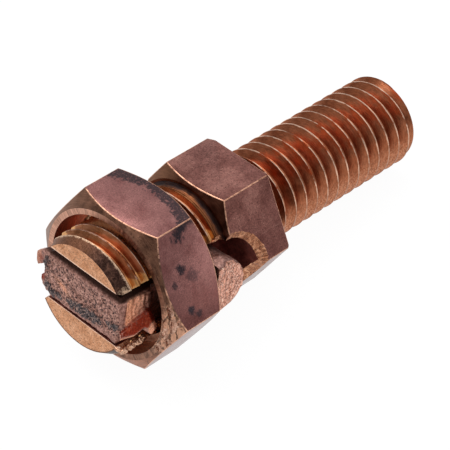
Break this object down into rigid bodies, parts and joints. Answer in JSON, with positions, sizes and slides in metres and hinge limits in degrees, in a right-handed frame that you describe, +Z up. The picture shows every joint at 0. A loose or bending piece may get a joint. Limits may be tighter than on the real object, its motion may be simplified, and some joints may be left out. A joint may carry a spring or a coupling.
{
  "type": "split bolt stud connector",
  "caption": "Bare copper split bolt wire connector on a threaded mounting stud, with a hex collar, a slotted post, a clamping hex nut and a captive pressure bar.",
  "frame": {"origin": "centre of the collar's seat face, on the axis of the stud", "axes": "+X along the stud away from the seat, Y along the slot that the wire lies in, +Z up out of a flat of the collar"},
  "size_m": [0.0431, 0.0192, 0.0168],
  "materials": {
    "stud_copper": "tarnished copper alloy, threads bright on their crests",
    "nut_copper": "tarnished copper alloy with dark stains and bare worn edges",
    "bar_copper": "rough sheared copper"
  },
  "bodies": {
    "body": {"stud_body": "stud_copper"},
    "bar": {"pressure_bar": "bar_copper"},
    "nut": {"clamp_nut": "nut_copper"}
  },
  "joints": [
    {"name": "bar_slide", "type": "slide", "parent": "body", "child": "bar", "axis": [1, 0, 0], "range_m": [-0.00783, 0.00267]},
    {"name": "nut_turn", "type": "hinge", "parent": "bar", "child": "nut", "pos_m": [0, 0, 0], "axis": [1, 0, 0], "range_deg": [-2380, 810]}
  ],
  "couplings": [
    {"joint": "bar_slide", "follows": "nut_turn", "m_per_rad": 0.0001878}
  ]
}
